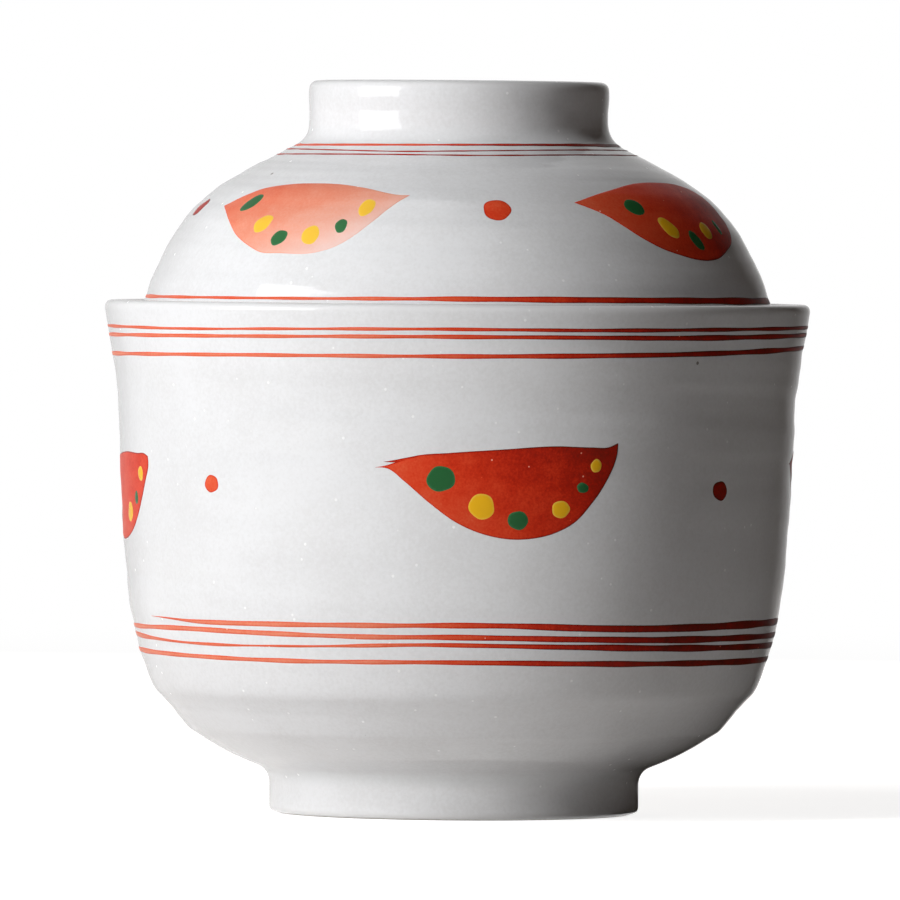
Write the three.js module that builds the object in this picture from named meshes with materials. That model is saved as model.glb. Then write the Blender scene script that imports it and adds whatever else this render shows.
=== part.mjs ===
// Lidded soup bowl of white porcelain: a footed bowl with a flared lip, and a domed lid with a ring knob.
// Millimetres, z up. The bowl stands on z = 0 and both pieces are turned about the z axis.
import * as THREE from 'three';

// Bowl
const RIM_RADIUS = 50; // outside of the lip
const BOWL_HEIGHT = 72.5; // from the foot to the top of the lip
const BOWL_WALL = 3.4;
const FLOOR_THICKNESS = 4.5; // between the inside and the recess of the foot
const BASE_SLOPE = 21.5; // degrees that the base rises from the foot
const WALL_LEAN = 2.7; // degrees that the wall opens from upright
const FLARE_HEIGHT = 16; // stretch below the top of the lip that flares
const FLARE_REACH = 2; // how far the lip stands out from the wall under it
const FLARE_LEAN = 16; // degrees that the lip opens at its top
const LIP_WALL = 3.3;
const LIP_ROUND = 1.1;

// Ledge inside the lip, which carries the lid
const LEDGE_DEPTH = 3; // from the top of the lip
const LEDGE_WIDTH = 3.5;
const LEDGE_ROUND = 0.8;
const LEDGE_SKIRT = 6; // upright face below the ledge

// Foot ring under the bowl
const FOOT_RADIUS = 26.2;
const FOOT_HEIGHT = 6.1; // up to where the base would meet the ring
const FOOT_RING_WIDTH = 4;
const FOOT_RECESS = 5;
const FOOT_ROUND = 0.8;
const FOOT_FILLET = 2;

// Lid
const SEAT_GAP = 0.3; // between the ledge and the lid
const LID_PLAY = 1.5; // between the lip and the edge of the lid
const LID_HEIGHT = 34; // from its edge to the top of the knob
const LID_WALL = 3.4;
const LID_EDGE_ROUND = 0.6;
const CROWN_THICKNESS = 4.2; // in the middle, under the recess of the knob
const CROWN_SLOPE = 26.6; // degrees that the dome falls away from the knob
const EDGE_LEAN = 18.7; // degrees that the dome leans in at its edge

// Ring knob on the lid
const KNOB_RADIUS = 21.3;
const KNOB_HEIGHT = 8.3; // down to where the dome would meet the ring
const KNOB_WALL = 3.6;
const KNOB_RECESS = 6;
const KNOB_ROUND = 1.2;
const KNOB_FILLET = 2.4;

// How far the handles of each swelling curve reach across its span, from 0 to 1
const BASE_FULLNESS = 0.96;
const WALL_FULLNESS = 0.65;
const FLARE_FULLNESS = 0.3;
const EDGE_FULLNESS = 0.67;
const CROWN_FULLNESS = 0.6;

// Share of the belly or the dome, from its narrow end, over which the inside runs level instead
const FLOOR_SHARE = 0.15;
const CROWN_SHARE = 0.2;

// Fineness of the turned surfaces
const TURN_SEGMENTS = 64;
const CURVE_STEPS = 10;
const BLEND_STEPS = 4;
const ROUND_STEPS = 2;
const SAME_POINT = 0.05; // nearer points of an outline count as one

// Finish of the glazed porcelain
const GLAZE_WHITE = 0xe9e9eb;
const GLAZE_ROUGHNESS = 0.16;

// Sizes that follow from the ones above. Heights on the lid are measured from its edge.
const WALL_RADIUS = RIM_RADIUS - FLARE_REACH;
const FLARE_START = BOWL_HEIGHT - FLARE_HEIGHT;
const LIP_INNER_RADIUS = RIM_RADIUS - LIP_WALL;
const LEDGE_Z = BOWL_HEIGHT - LEDGE_DEPTH;
const LEDGE_INNER_RADIUS = LIP_INNER_RADIUS - LEDGE_WIDTH;
const FLOOR_Z = FOOT_RECESS + FLOOR_THICKNESS;
const FOOT_INNER_RADIUS = FOOT_RADIUS - FOOT_RING_WIDTH;
const LID_RADIUS = LIP_INNER_RADIUS - LID_PLAY;
const LID_Z = LEDGE_Z + SEAT_GAP;
const KNOB_BASE = LID_HEIGHT - KNOB_HEIGHT;
const KNOB_FLOOR = LID_HEIGHT - KNOB_RECESS;
const KNOB_INNER_RADIUS = KNOB_RADIUS - KNOB_WALL;
const CROWN_UNDERSIDE = KNOB_FLOOR - CROWN_THICKNESS;

// Rise for each millimetre of run, for an angle in degrees.
function slope(degrees) {
  return Math.tan(THREE.MathUtils.degToRad(degrees));
}

// Point of an outline as radius and height, with the distance that its corner is rounded over.
function corner(radius, height, rounding = 0) {
  const point = new THREE.Vector2(radius, height);
  point.rounding = rounding;
  return point;
}

// Outside of the bowl from the foot ring to the start of the flare.
function bellyCurve() {
  const start = corner(FOOT_RADIUS, FOOT_HEIGHT);
  const end = corner(WALL_RADIUS, FLARE_START);
  const run = BASE_FULLNESS * (end.x - start.x);
  const rise = WALL_FULLNESS * (end.y - start.y);
  const baseHandle = corner(start.x + run, start.y + run * slope(BASE_SLOPE));
  const wallHandle = corner(end.x - rise * slope(WALL_LEAN), end.y - rise);
  return new THREE.CubicBezierCurve(start, baseHandle, wallHandle, end);
}

// Outside of the bowl from the start of the flare to the round of the lip.
function flareCurve() {
  const start = corner(WALL_RADIUS, FLARE_START);
  const end = corner(RIM_RADIUS, BOWL_HEIGHT - LIP_ROUND);
  const rise = FLARE_FULLNESS * (end.y - start.y);
  const wallHandle = corner(start.x, start.y + rise);
  const lipHandle = corner(end.x - rise * slope(FLARE_LEAN), end.y - rise);
  return new THREE.CubicBezierCurve(start, wallHandle, lipHandle, end);
}

// Outside of the lid from the ring knob down to its edge.
function domeCurve() {
  const start = corner(KNOB_RADIUS, KNOB_BASE);
  const end = corner(LID_RADIUS, LID_EDGE_ROUND);
  const run = CROWN_FULLNESS * (end.x - start.x);
  const drop = EDGE_FULLNESS * (start.y - end.y);
  const crownHandle = corner(start.x + run, start.y - run * slope(CROWN_SLOPE));
  const edgeHandle = corner(end.x - drop * slope(EDGE_LEAN), end.y + drop);
  return new THREE.CubicBezierCurve(start, crownHandle, edgeHandle, end);
}

// Points between two shares of a curve's length, moved towards the axis by a wall measured square to it.
function pointsAlong(curve, from, to, wall = 0) {
  const points = [];
  for (let step = 0; step <= CURVE_STEPS; step += 1) {
    const share = THREE.MathUtils.lerp(from, to, step / CURVE_STEPS);
    const tangent = curve.getTangentAt(share);
    const inward = new THREE.Vector2(-Math.abs(tangent.y), tangent.x * Math.sign(tangent.y));
    points.push(curve.getPointAt(share).addScaledVector(inward, wall));
  }
  return points;
}

// Level surface from the axis that bends up or down into a curve, where that starts with this direction.
function levelFromAxis(height, start, direction) {
  const bend = start.x - ((start.y - height) * direction.x) / direction.y;
  const curve = new THREE.QuadraticBezierCurve(corner(0, height), corner(bend, height), start);
  return curve.getPoints(BLEND_STEPS);
}

// Outline with each corner rounded off over its own distance, and repeated points left out.
function rounded(corners) {
  const points = corners.flatMap((point, i) => {
    if (!point.rounding) return [point];
    const towards = (other) => other.clone().sub(point).setLength(point.rounding).add(point);
    const [before, after] = [corners[i - 1], corners[i + 1]].map(towards);
    return new THREE.QuadraticBezierCurve(before, point, after).getPoints(ROUND_STEPS);
  });
  return points.filter((point, i) => i === 0 || point.distanceTo(points[i - 1]) > SAME_POINT);
}

// The bowl from the middle of its underside, up its outside, over the lip and the ledge to its inside.
function bowlOutline() {
  const belly = bellyCurve();
  const filletShare = FOOT_FILLET / belly.getLength();
  const inside = pointsAlong(belly, 1, FLOOR_SHARE, BOWL_WALL);
  const floor = levelFromAxis(FLOOR_Z, inside.at(-1), belly.getTangentAt(FLOOR_SHARE));
  return rounded([
    corner(0, FOOT_RECESS),
    corner(FOOT_INNER_RADIUS, FOOT_RECESS, FOOT_ROUND),
    corner(FOOT_INNER_RADIUS, 0, FOOT_ROUND),
    corner(FOOT_RADIUS, 0, FOOT_ROUND),
    corner(FOOT_RADIUS, FOOT_HEIGHT, FOOT_FILLET),
    ...pointsAlong(belly, filletShare, 1),
    ...flareCurve().getPoints(BLEND_STEPS),
    corner(RIM_RADIUS, BOWL_HEIGHT, LIP_ROUND),
    corner(LIP_INNER_RADIUS, BOWL_HEIGHT, LIP_ROUND),
    corner(LIP_INNER_RADIUS, LEDGE_Z, LEDGE_ROUND),
    corner(LEDGE_INNER_RADIUS, LEDGE_Z, LEDGE_ROUND),
    corner(LEDGE_INNER_RADIUS, LEDGE_Z - LEDGE_SKIRT, LEDGE_SKIRT / 2),
    ...inside,
    ...floor.reverse(),
  ]);
}

// The lid from the middle of its underside, round its edge, up the dome and over the ring knob.
function lidOutline() {
  const dome = domeCurve();
  const filletShare = KNOB_FILLET / dome.getLength();
  const edgeShare = 1 - (LID_WALL * slope(EDGE_LEAN) + LID_EDGE_ROUND) / dome.getLength();
  const inside = pointsAlong(dome, CROWN_SHARE, edgeShare, LID_WALL);
  const crown = levelFromAxis(CROWN_UNDERSIDE, inside[0], dome.getTangentAt(CROWN_SHARE));
  return rounded([
    ...crown,
    ...inside,
    corner(inside.at(-1).x, 0, LID_EDGE_ROUND),
    corner(LID_RADIUS, 0, LID_EDGE_ROUND),
    ...pointsAlong(dome, 1, filletShare),
    corner(KNOB_RADIUS, KNOB_BASE, KNOB_FILLET),
    corner(KNOB_RADIUS, LID_HEIGHT, KNOB_ROUND),
    corner(KNOB_INNER_RADIUS, LID_HEIGHT, KNOB_ROUND),
    corner(KNOB_INNER_RADIUS, KNOB_FLOOR, KNOB_ROUND),
    corner(0, KNOB_FLOOR),
  ]);
}

function glaze() {
  return new THREE.MeshStandardMaterial({ color: GLAZE_WHITE, roughness: GLAZE_ROUGHNESS, metalness: 0 });
}

// Glazed piece turned about the z axis from an outline that begins and ends on it.
function turnedPiece(name, outline) {
  const geometry = new THREE.LatheGeometry(outline, TURN_SEGMENTS).rotateX(Math.PI / 2);
  const mesh = new THREE.Mesh(geometry, glaze());
  mesh.name = name;
  return mesh;
}

const liddedBowl = new THREE.Group();
const bowl = turnedPiece('bowl', bowlOutline());
const lid = turnedPiece('lid', lidOutline());
lid.position.z = LID_Z;
liddedBowl.add(bowl, lid);

export default liddedBowl;
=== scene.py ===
"""Lidded soup bowl of white porcelain with enamel brushwork: its fine surfaces, finishes and studio.

Sizes are in millimetres and angles in degrees, and the scene is in metres. Angle 0 faces the viewer, and
angles grow towards the viewer's right.
"""

import logging
import math
from collections.abc import Sequence
from dataclasses import dataclass, field, replace
from enum import Enum

import bmesh
import bpy
import numpy as np
from mathutils import Matrix, Vector


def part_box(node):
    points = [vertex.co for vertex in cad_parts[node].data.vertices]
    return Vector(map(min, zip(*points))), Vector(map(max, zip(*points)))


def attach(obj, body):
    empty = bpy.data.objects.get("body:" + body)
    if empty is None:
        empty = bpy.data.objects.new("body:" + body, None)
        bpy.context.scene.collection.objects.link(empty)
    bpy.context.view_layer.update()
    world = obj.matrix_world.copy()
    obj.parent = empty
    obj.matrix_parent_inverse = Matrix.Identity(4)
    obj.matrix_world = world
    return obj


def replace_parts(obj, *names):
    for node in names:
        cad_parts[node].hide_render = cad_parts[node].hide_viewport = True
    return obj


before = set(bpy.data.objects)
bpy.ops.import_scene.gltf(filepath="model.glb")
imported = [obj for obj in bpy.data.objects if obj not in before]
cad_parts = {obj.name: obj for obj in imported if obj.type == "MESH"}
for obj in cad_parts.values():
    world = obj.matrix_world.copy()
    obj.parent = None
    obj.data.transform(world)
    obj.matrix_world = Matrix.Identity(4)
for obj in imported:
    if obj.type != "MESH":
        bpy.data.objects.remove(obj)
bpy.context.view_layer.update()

MM = 0.001  # metres in a millimetre
TURN = 2 * math.pi
WELD = 0.002  # points of a mesh that lie nearer count as one
TURN_SEGMENTS = 256  # round a turned piece
CURVE_STEPS = 200  # along a curve before it is spaced out again
ROUND_STEPS = 8  # along a rounded corner
SKIN_SPACING = 0.42  # between the rows of points on the outside
INNER_SPACING = 0.9  # between the rows of points on the inside
EDGE_SINK = 0.02  # how far the edge of a flake of enamel dips into the glaze

Array = np.ndarray
Colour = tuple[float, float, float]
Point = tuple[float, float]
log = logging.getLogger("lidded_soup_bowl")


class Slot(Enum):
    """Material slots that the pieces take their finishes from."""

    GLAZE = "white_glaze"
    BARE = "bare_porcelain"
    RED = "red_enamel"
    GREEN = "green_enamel"
    YELLOW = "yellow_enamel"


class Trait(Enum):
    """Values that a mesh carries at its points for its finish."""

    BEND = "bend"  # sharpness of the profile: 1 at an outer edge, -1 in a hollow
    COAT = "coat"  # thickness of the paint, where 1 is a full coat; on the lines and some leaves it is raised towards the shaded side as painted shade
    RIM = "rim"  # distance to the edge of a brush mark
    ALONG = "along"  # distance along a brush mark
    ACROSS = "across"  # distance across a brush mark


def slope(degrees: float) -> float:
    """Rise for each millimetre of run."""
    return math.tan(math.radians(degrees))


def smooth(values: Array) -> Array:
    """Eases values from 0 to 1 in and out, and holds the ones beyond."""
    held = np.clip(values, 0, 1)
    return held * held * (3 - 2 * held)


def cubic(start: Point, first: Point, second: Point, end: Point) -> Array:
    """Draws a cubic Bezier curve.

    Args:
        start: Point where the curve begins.
        first: Handle that the curve leaves towards.
        second: Handle that the curve arrives from.
        end: Point where the curve ends.

    Returns:
        Points along the curve, one to a row.
    """
    share = np.linspace(0, 1, CURVE_STEPS + 1)[:, None]
    rest = 1 - share
    weights = (rest**3, 3 * rest**2 * share, 3 * rest * share**2, share**3)
    return sum(weight * np.array(point) for weight, point in zip(weights, (start, first, second, end)))


def quadratic(start: Point, handle: Point, end: Point, steps: int) -> Array:
    """Draws a quadratic Bezier curve.

    Args:
        start: Point where the curve begins.
        handle: Point that the curve bends towards.
        end: Point where the curve ends.
        steps: Number of steps along the curve.

    Returns:
        Points along the curve, one to a row.
    """
    share = np.linspace(0, 1, steps + 1)[:, None]
    rest = 1 - share
    weights = (rest**2, 2 * rest * share, share**2)
    return sum(weight * np.array(point) for weight, point in zip(weights, (start, handle, end)))


def rounded(corners: Sequence[Sequence[float]]) -> Array:
    """Rounds the corners of an outline off.

    Args:
        corners: Radius and height of each corner, and the distance that it is rounded over, if it is.

    Returns:
        Points of the outline, one to a row.
    """
    spots = [np.array(corner[:2]) for corner in corners]
    pieces = []
    for index, corner in enumerate(corners):
        spot, rounding = spots[index], corner[2] if len(corner) > 2 else 0
        if not rounding:
            pieces.append(spot[None])
            continue
        before, after = spots[index - 1] - spot, spots[index + 1] - spot
        begin = spot + before * rounding / np.linalg.norm(before)
        end = spot + after * rounding / np.linalg.norm(after)
        pieces.append(quadratic(begin, spot, end, ROUND_STEPS))
    points = np.vstack(pieces)
    apart = np.linalg.norm(np.diff(points, axis=0), axis=1) > WELD
    return points[np.concatenate(([True], apart))]


def lengths_along(points: Array) -> Array:
    """Distance from the first point of a line to each of its points."""
    return np.concatenate(([0.0], np.cumsum(np.linalg.norm(np.diff(points, axis=0), axis=1))))


def at_lengths(points: Array, lengths: Array) -> Array:
    """Points of a line at given distances from its first point."""
    places = lengths_along(points)
    return np.stack([np.interp(lengths, places, column) for column in points.T], axis=1)


def respaced(points: Array, spacing: float) -> Array:
    """Spaces the points of a line out evenly.

    Args:
        points: Points of the line, one to a row.
        spacing: Distance between the new points, about.

    Returns:
        New points from the first to the last old one.
    """
    total = lengths_along(points)[-1]
    return at_lengths(points, np.linspace(0, total, max(2, round(total / spacing)) + 1))


def through(knots: Sequence[Sequence[float]], places: Array, wanted: Array) -> Array:
    """Runs a smooth curve through listed knots.

    Args:
        knots: Values at each knot.
        places: Where each knot lies along the curve, rising.
        wanted: Where values are wanted.

    Returns:
        Values of the curve, one row for each place that is wanted.
    """
    values = np.array(knots, float)
    slopes = np.gradient(values, places, axis=0)
    index = np.clip(np.searchsorted(places, wanted, side="right") - 1, 0, len(places) - 2)
    gap = places[index + 1] - places[index]
    share = ((wanted - places[index]) / gap)[:, None]
    rest = 1 - share
    ends = values[index] * rest**2 * (1 + 2 * share) + values[index + 1] * share**2 * (1 + 2 * rest)
    return ends + gap[:, None] * share * rest * (slopes[index] * rest - slopes[index + 1] * share)


def outward(points: Array) -> Array:
    """Finds the directions square to a profile that has its material on the left.

    Args:
        points: Points of the profile, one to a row.

    Returns:
        Direction out of the material at each point, one to a row.
    """
    tangents = np.gradient(points, lengths_along(points), axis=0)
    tangents /= np.linalg.norm(tangents, axis=1, keepdims=True)
    return np.stack([tangents[:, 1], -tangents[:, 0]], axis=1)


def level_to_axis(before: Array, last: Array, height: float) -> Array:
    """Goes on from two points of a profile and bends into a level stretch, which ends on the axis.

    Args:
        before: Last point but one of the profile.
        last: Last point of the profile, where the curve starts.
        height: Height of the level stretch.

    Returns:
        Points of the curve.
    """
    heading = last - before
    bend = last[0] + heading[0] * (height - last[1]) / heading[1]
    return quadratic(last, (bend, height), (0, height), CURVE_STEPS)


def domed(height: float, share: Array) -> Array:
    """Lift of a flake with a rounded section, from its middle at a share of 0 to its edge at 1."""
    return (height + EDGE_SINK) * np.sqrt(1 - share**2) - EDGE_SINK


@dataclass(frozen=True)
class Wave:
    """Gentle wave round and along a turned surface."""

    height: float
    lobes: int  # round the axis
    stretch: float  # along the profile, for each radian
    shift: float = 0.0  # in radians

    def at(self, angles: Array, along: Array) -> Array:
        """Height of the wave at angles in radians and distances along the profile."""
        return self.height * np.sin(self.lobes * angles + along / self.stretch + self.shift)


@dataclass(frozen=True)
class Relief:
    """Unevenness of a surface that was thrown and trimmed by hand."""

    ring_pitch: float  # between the turns of the finger marks
    ring_rise: float
    sway: float = 0.0  # how far the piece is out of round
    facets: tuple[Point, ...] = ((0.0, 0.0),)  # height and rise of the breaks from the trimming tool
    margin: float = 6.0  # stretch at both ends where the finger marks die out
    smoothed: float = 0.0  # stretch from the start where the trimming took the finger marks away

    STRAY = Wave(0.8, 2, 8.3)  # how the finger marks leave an even spiral, in radians
    FINER_PITCH = 0.37  # of the finer marks, as a share of the pitch
    FINER_RISE = 0.35  # of the finer marks, as a share of the rise
    PRESSURE = (0.65, Wave(0.35, 1, 11.7, 0.6))  # of the fingers: its mean, and how it changes
    OUT_OF_ROUND = (Wave(1.0, 2, 31.0), Wave(0.6, 3, -19.0, 1.1))

    def rise(self, angles: Array, along: Array, heights: Array, total: float) -> Array:
        """Works out how far the surface stands out.

        Args:
            angles: Angles round the axis, in radians.
            along: Distances along the profile.
            heights: Heights of the same points.
            total: Length of the profile.

        Returns:
            Distances square to the surface.
        """
        spiral = self.ring_pitch / TURN
        marks = np.sin(angles + along / spiral + self.STRAY.at(angles, along))
        finer = Wave(self.FINER_RISE, 2, self.FINER_PITCH * spiral, 1.3).at(angles, along)
        strength = self.PRESSURE[0] + self.PRESSURE[1].at(angles, along)
        swaying = sum(wave.at(angles, along) for wave in self.OUT_OF_ROUND)
        fade = smooth((along - self.smoothed) / self.margin) * smooth((total - along) / self.margin)
        lift = fade * (self.ring_rise * strength * (marks + finer) + self.sway * swaying)
        return lift + np.interp(heights, *np.array(self.facets).T)


class Skin:
    """Stretch of a turned surface: a profile swept round the axis, with its relief."""

    def __init__(self, profile: Array, relief: Relief | None = None) -> None:
        """Keeps a profile of radius and height, which has the material on its left.

        Args:
            profile: Points of the profile, one to a row.
            relief: Unevenness of the surface, if it has any.
        """
        self.profile = profile
        self.relief = relief
        self.lengths = lengths_along(profile)
        self.normals = outward(profile)

    def length_at(self, height: float) -> float:
        """Distance along a rising profile at which it reaches a height."""
        return float(np.interp(height, self.profile[:, 1], self.lengths))

    def radius_at(self, along: Array) -> Array:
        """Radius at distances along the profile."""
        return np.interp(along, self.lengths, self.profile[:, 0])

    def place(self, angles: Array, along: Array, lift: Array | float = 0.0) -> Array:
        """Finds points on the surface or just off it.

        Args:
            angles: Angles round the axis, in radians.
            along: Distances along the profile.
            lift: Distances square to the surface.

        Returns:
            Points of the scene, in metres, on a last axis of three.
        """
        heights = np.interp(along, self.lengths, self.profile[:, 1])
        if self.relief:
            lift = lift + self.relief.rise(angles, along, heights, self.lengths[-1])
        radius = self.radius_at(along) + lift * np.interp(along, self.lengths, self.normals[:, 0])
        heights = heights + lift * np.interp(along, self.lengths, self.normals[:, 1])
        radius, heights, angles = np.broadcast_arrays(radius, heights, angles)
        return np.stack([radius * np.sin(angles), -radius * np.cos(angles), heights], axis=-1) * MM


def grid_faces(rows: int, columns: int, ring: bool) -> Array:
    """Lists the faces of a grid of points.

    Args:
        rows: Number of rows of points.
        columns: Number of points in a row.
        ring: Whether the last column joins the first.

    Returns:
        Point numbers of each face, one face to a row.
    """
    across = np.arange(columns if ring else columns - 1)
    row, column = np.meshgrid(np.arange(rows - 1), across, indexing="ij")
    above, beside = row + 1, (column + 1) % columns
    corners = ((row, column), (row, beside), (above, beside), (above, column))
    return np.stack([line * columns + place for line, place in corners], axis=-1).reshape(-1, 4)


def mesh_piece(name: str, points: Array, faces: Array, traits: dict[Trait, Array]) -> bpy.types.Object:
    """Makes a smooth mesh and joins the points that meet.

    Args:
        name: Name of the piece.
        points: Points in metres, one to a row.
        faces: Point numbers of each face, one face to a row.
        traits: Values at the points.

    Returns:
        The new object, which is linked to the scene.
    """
    mesh = bpy.data.meshes.new(name)
    mesh.from_pydata(points.tolist(), [], faces.tolist())
    for trait, values in traits.items():
        layer = mesh.attributes.new(trait.value, "FLOAT", "POINT")
        layer.data.foreach_set("value", np.asarray(values, np.float32).ravel())
    welded = bmesh.new()
    welded.from_mesh(mesh)
    bmesh.ops.remove_doubles(welded, verts=welded.verts, dist=WELD * MM)
    bmesh.ops.recalc_face_normals(welded, faces=welded.faces)
    welded.to_mesh(mesh)
    welded.free()
    mesh.shade_smooth()
    piece = bpy.data.objects.new(name, mesh)
    bpy.context.scene.collection.objects.link(piece)
    return piece


def turned_piece(name: str, sections: Sequence[Skin], closed: bool = False) -> bpy.types.Object:
    """Sweeps stretches of profile round the axis as one piece.

    Args:
        name: Name of the piece.
        sections: Stretches of the profile in order, each starting where the one before it ends.
        closed: Whether the profile returns to its start, as a ring's does, and doesn't end on the axis.

    Returns:
        The new object.
    """
    angles = np.linspace(0, TURN, TURN_SEGMENTS, endpoint=False)[None]
    starts = [(section, min(index, 1)) for index, section in enumerate(sections)]
    points = np.concatenate([part.place(angles, part.lengths[:, None])[start:] for part, start in starts])
    profile = np.vstack([part.profile[start:] for part, start in starts])
    heading = np.unwrap(np.arctan2(*np.gradient(profile, axis=0).T[::-1]))
    bend = np.gradient(heading, lengths_along(profile) + np.arange(len(profile)) * WELD)
    if closed:
        points = np.concatenate([points, points[:1]])
        bend = np.append(bend, bend[0])
    faces = grid_faces(len(points), TURN_SEGMENTS, ring=True)
    traits = {Trait.BEND: np.repeat(np.clip(bend, -1, 1), TURN_SEGMENTS)}
    return mesh_piece(name, points.reshape(-1, 3), faces, traits)


class Wire:
    """Socket that takes part in Python arithmetic, where each operator adds a Math node."""

    def __init__(self, bench: "Bench", socket: bpy.types.NodeSocket) -> None:
        """Keeps a socket and the bench that new nodes go on."""
        self.bench, self.socket = bench, socket

    def other(self, name: str) -> "Wire":
        """Another output of the same node."""
        return Wire(self.bench, self.socket.node.outputs[name])

    def maths(self, operation: str, first: "Wire | float", second: "Wire | float") -> "Wire":
        """Adds a Math node."""
        return self.bench.node("Math", {"operation": operation}, {0: first, 1: second})

    def __add__(self, other: "Wire | float") -> "Wire":
        """Sum of two values."""
        return self.maths("ADD", self, other)

    def __sub__(self, other: "Wire | float") -> "Wire":
        """Difference of two values."""
        return self.maths("SUBTRACT", self, other)

    def __rsub__(self, other: float) -> "Wire":
        """Difference of a number and this value."""
        return self.maths("SUBTRACT", other, self)

    def __mul__(self, other: "Wire | float") -> "Wire":
        """Product of two values."""
        return self.maths("MULTIPLY", self, other)

    def __rpow__(self, other: float) -> "Wire":
        """Power of a number by this value."""
        return self.maths("POWER", other, self)

    __radd__, __rmul__ = __add__, __mul__


class Bench:
    """Node tree of one material, or of the world, that a finish is wired up on."""

    SPECK_CORE = 0.6  # share of a speck's radius that shows in full

    def __init__(self, tree: bpy.types.NodeTree) -> None:
        """Starts from a tree with no nodes."""
        self.tree = tree
        tree.nodes.clear()

    @classmethod
    def for_material(cls, name: str) -> tuple["Bench", bpy.types.Material]:
        """Starts a new material.

        Args:
            name: Name of the material.

        Returns:
            The bench for it, and the material.
        """
        material = bpy.data.materials.new(name)
        material.use_nodes = True
        return cls(material.node_tree), material

    def node(
        self,
        kind: str,
        settings: dict[str, object] | None = None,
        inputs: dict[str | int, object] | None = None,
        output: str | int = 0,
    ) -> Wire:
        """Adds a node.

        Args:
            kind: Type of the node, without the prefix that all of them share.
            settings: Settings of the node, which are set first.
            inputs: Value or wire of each input, by its name or number.
            output: Output that is wanted, by its name or number.

        Returns:
            That output.
        """
        made = self.tree.nodes.new("ShaderNode" + kind)
        for name, value in (settings or {}).items():
            setattr(made, name, value)
        for name, value in (inputs or {}).items():
            if isinstance(value, Wire):
                self.tree.links.new(value.socket, made.inputs[name])
            else:
                made.inputs[name].default_value = value
        return Wire(self, made.outputs[output] if made.outputs else made.inputs[0])

    def trait(self, trait: Trait) -> Wire:
        """Value that the mesh carries at its points."""
        return self.node("Attribute", {"attribute_name": trait.value}, output="Fac")

    def coordinates(self) -> Wire:
        """Place on the piece, in metres."""
        return self.node("TexCoord", output="Object")

    def step(self, value: Wire, start: float, end: float) -> Wire:
        """Rises smoothly from 0 to 1 while a value goes from start to end."""
        ends = {"Value": value, "From Min": start, "From Max": end, "To Min": 0.0, "To Max": 1.0}
        return self.node("MapRange", {"interpolation_type": "SMOOTHSTEP"}, ends)

    def mix(self, first: Wire | Colour, second: Wire | Colour, share: Wire | float) -> Wire:
        """Blends two colours.

        Args:
            first: Colour at a share of 0.
            second: Colour at a share of 1.
            share: Share of the second colour.

        Returns:
            The blended colour.
        """
        colours = [tone if isinstance(tone, Wire) else (*tone, 1.0) for tone in (first, second)]
        inputs = {0: share, 6: colours[0], 7: colours[1]}
        return self.node("Mix", {"data_type": "RGBA"}, inputs, output=2)

    def noise(self, size: float, seed: float, detail: float = 2.0, where: Wire | None = None) -> Wire:
        """Adds a cloudy pattern.

        Args:
            size: Size of its clouds.
            seed: Number that sets this pattern apart from the others.
            detail: How much finer pattern is laid over it.
            where: Place in metres, instead of the place on the piece.

        Returns:
            Values about 0.5.
        """
        place, scale = where or self.coordinates(), 1 / (size * MM)
        inputs = {"Vector": place, "W": seed, "Scale": scale, "Detail": detail}
        return self.node("TexNoise", {"noise_dimensions": "4D"}, inputs)

    def specks(self, apart: float, radius: float, seed: float) -> Wire:
        """Adds scattered round specks.

        Args:
            apart: Size of the space that holds one speck.
            radius: Radius of the largest specks.
            seed: Number that sets these specks apart from the others.

        Returns:
            1 within the specks and 0 between them.
        """
        place = {0: self.coordinates(), 1: (seed, 0.0, 0.0)}
        shifted = self.node("VectorMath", {"operation": "ADD"}, place)
        distance = self.node("TexVoronoi", None, {"Vector": shifted, "Scale": 1 / (apart * MM)})
        return 1 - self.step(distance * apart, self.SPECK_CORE * radius, radius)

    def bump(self, height: Wire, depth: float) -> Wire:
        """Normal of a surface whose height pattern is as deep as given."""
        return self.node("Bump", None, {"Height": height, "Distance": depth * MM, "Strength": 1.0})

    def surface(self, colour: Wire, roughness: Wire, normal: Wire, mirror: float = 0.5) -> None:
        """Ends the tree in a glossy or matt surface.

        Args:
            colour: Colour of the surface.
            roughness: Roughness of its reflections.
            normal: Normal with the fine relief.
            mirror: Level of the reflections, which is the same all over.
        """
        inputs = {"Base Color": colour, "Roughness": roughness, "Normal": normal}
        inputs["Specular IOR Level"] = mirror
        shader = self.node("BsdfPrincipled", None, inputs)
        self.node("OutputMaterial", None, {"Surface": shader})


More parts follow.
